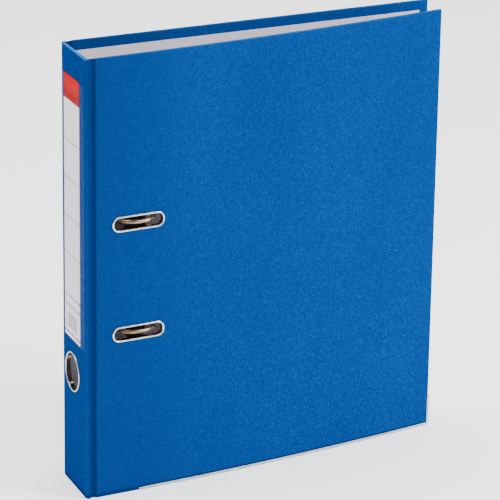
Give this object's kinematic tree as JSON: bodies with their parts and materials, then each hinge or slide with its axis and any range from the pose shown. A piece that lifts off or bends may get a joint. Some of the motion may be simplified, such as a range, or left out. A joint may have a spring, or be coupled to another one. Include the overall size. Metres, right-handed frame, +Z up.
{
  "type": "lever arch file",
  "caption": "Blue A4 lever arch file, standing closed: hinged covers and spine with a finger ring and label pocket, slots for the arches, and a full lever arch mechanism inside.",
  "frame": {"origin": "middle of the bounding box's bottom, on the surface that the file stands on", "axes": "+Z up the spine, +X from the spine to the fore edge, +Y from the front cover to the back cover"},
  "size_m": [0.2892, 0.052, 0.318],
  "materials": {
    "cover_coating": "embossed matt-satin blue coating",
    "greyboard": "raw grey board",
    "lining_paper": "pale grey lining paper",
    "nickel_steel": "bright nickel-plated steel",
    "rail_steel": "bright rolled steel strip",
    "plate_steel": "zinc-plated pressed steel",
    "clear_film": "clear welded film",
    "label_paper": "printed uncoated paper",
    "black_plastic": "moulded black plastic",
    "spring_wire": "spring steel wire"
  },
  "bodies": {
    "back_cover": {"back_board": "greyboard", "back_covering": "cover_coating", "back_lining": "lining_paper", "back_edge_rail": "rail_steel", "base_plate": "plate_steel", "upper_post": "nickel_steel", "lower_post": "nickel_steel", "plate_rivets": "nickel_steel", "lever_pin": "nickel_steel", "arch_spring": "spring_wire"},
    "spine": {"spine_board": "greyboard", "spine_covering": "cover_coating", "spine_lining": "lining_paper", "finger_ring": "nickel_steel", "finger_ring_washer": "nickel_steel", "label_pocket": "clear_film", "front_hinge_strip": "cover_coating", "back_hinge_strip": "cover_coating"},
    "label": {"label_card": "label_paper"},
    "front_cover": {"front_board": "greyboard", "front_covering": "cover_coating", "front_lining": "lining_paper", "front_edge_rail": "rail_steel", "upper_slot_eyelet": "nickel_steel", "lower_slot_eyelet": "nickel_steel", "upper_slot_backing": "nickel_steel", "lower_slot_backing": "nickel_steel"},
    "arches": {"arch_wire": "nickel_steel"},
    "lever": {"lever_arm": "nickel_steel", "roller_axle": "nickel_steel"},
    "roller": {"roller": "black_plastic"},
    "compressor": {"compressor_bar": "black_plastic", "compressor_bushes": "black_plastic"}
  },
  "joints": [
    {"name": "spine_hinge", "type": "hinge", "parent": "back_cover", "child": "spine", "pos_m": [-0.13975, 0.02376, 0.159], "axis": [0, 0, -1], "range_deg": [0, 90], "deforming": ["back_hinge_strip"]},
    {"name": "front_hinge", "type": "hinge", "parent": "spine", "child": "front_cover", "pos_m": [-0.14326, -0.02401, 0.159], "axis": [0, 0, -1], "range_deg": [0, 180], "deforming": ["front_hinge_strip"]},
    {"name": "lever_lift", "type": "hinge", "parent": "back_cover", "child": "lever", "pos_m": [-0.12533, 0.00584, 0.1528], "axis": [-1, 0, 0], "range_deg": [0, 90]},
    {"name": "arch_swing", "type": "hinge", "parent": "back_cover", "child": "arches", "pos_m": [-0.11786, 0.01514, 0.1588], "axis": [0, 0, -1], "range_deg": [0, 30], "deforming": ["arch_spring"]},
    {"name": "roller_spin", "type": "hinge", "parent": "lever", "child": "roller", "pos_m": [-0.12533, 0.00584, 0.1578], "axis": [1, 0, 0], "continuous": true},
    {"name": "compressor_slide", "type": "slide", "parent": "back_cover", "child": "compressor", "axis": [0, -1, 0], "range_m": [0, 0.019]},
    {"name": "label_slide", "type": "slide", "parent": "spine", "child": "label", "axis": [0, 0, 1], "range_m": [0, 0.2]}
  ],
  "couplings": [
    {"joint": "lever_lift", "follows": "front_hinge", "ratio": 0.5},
    {"joint": "arch_swing", "follows": "front_hinge", "ratio": 0.16667}
  ]
}
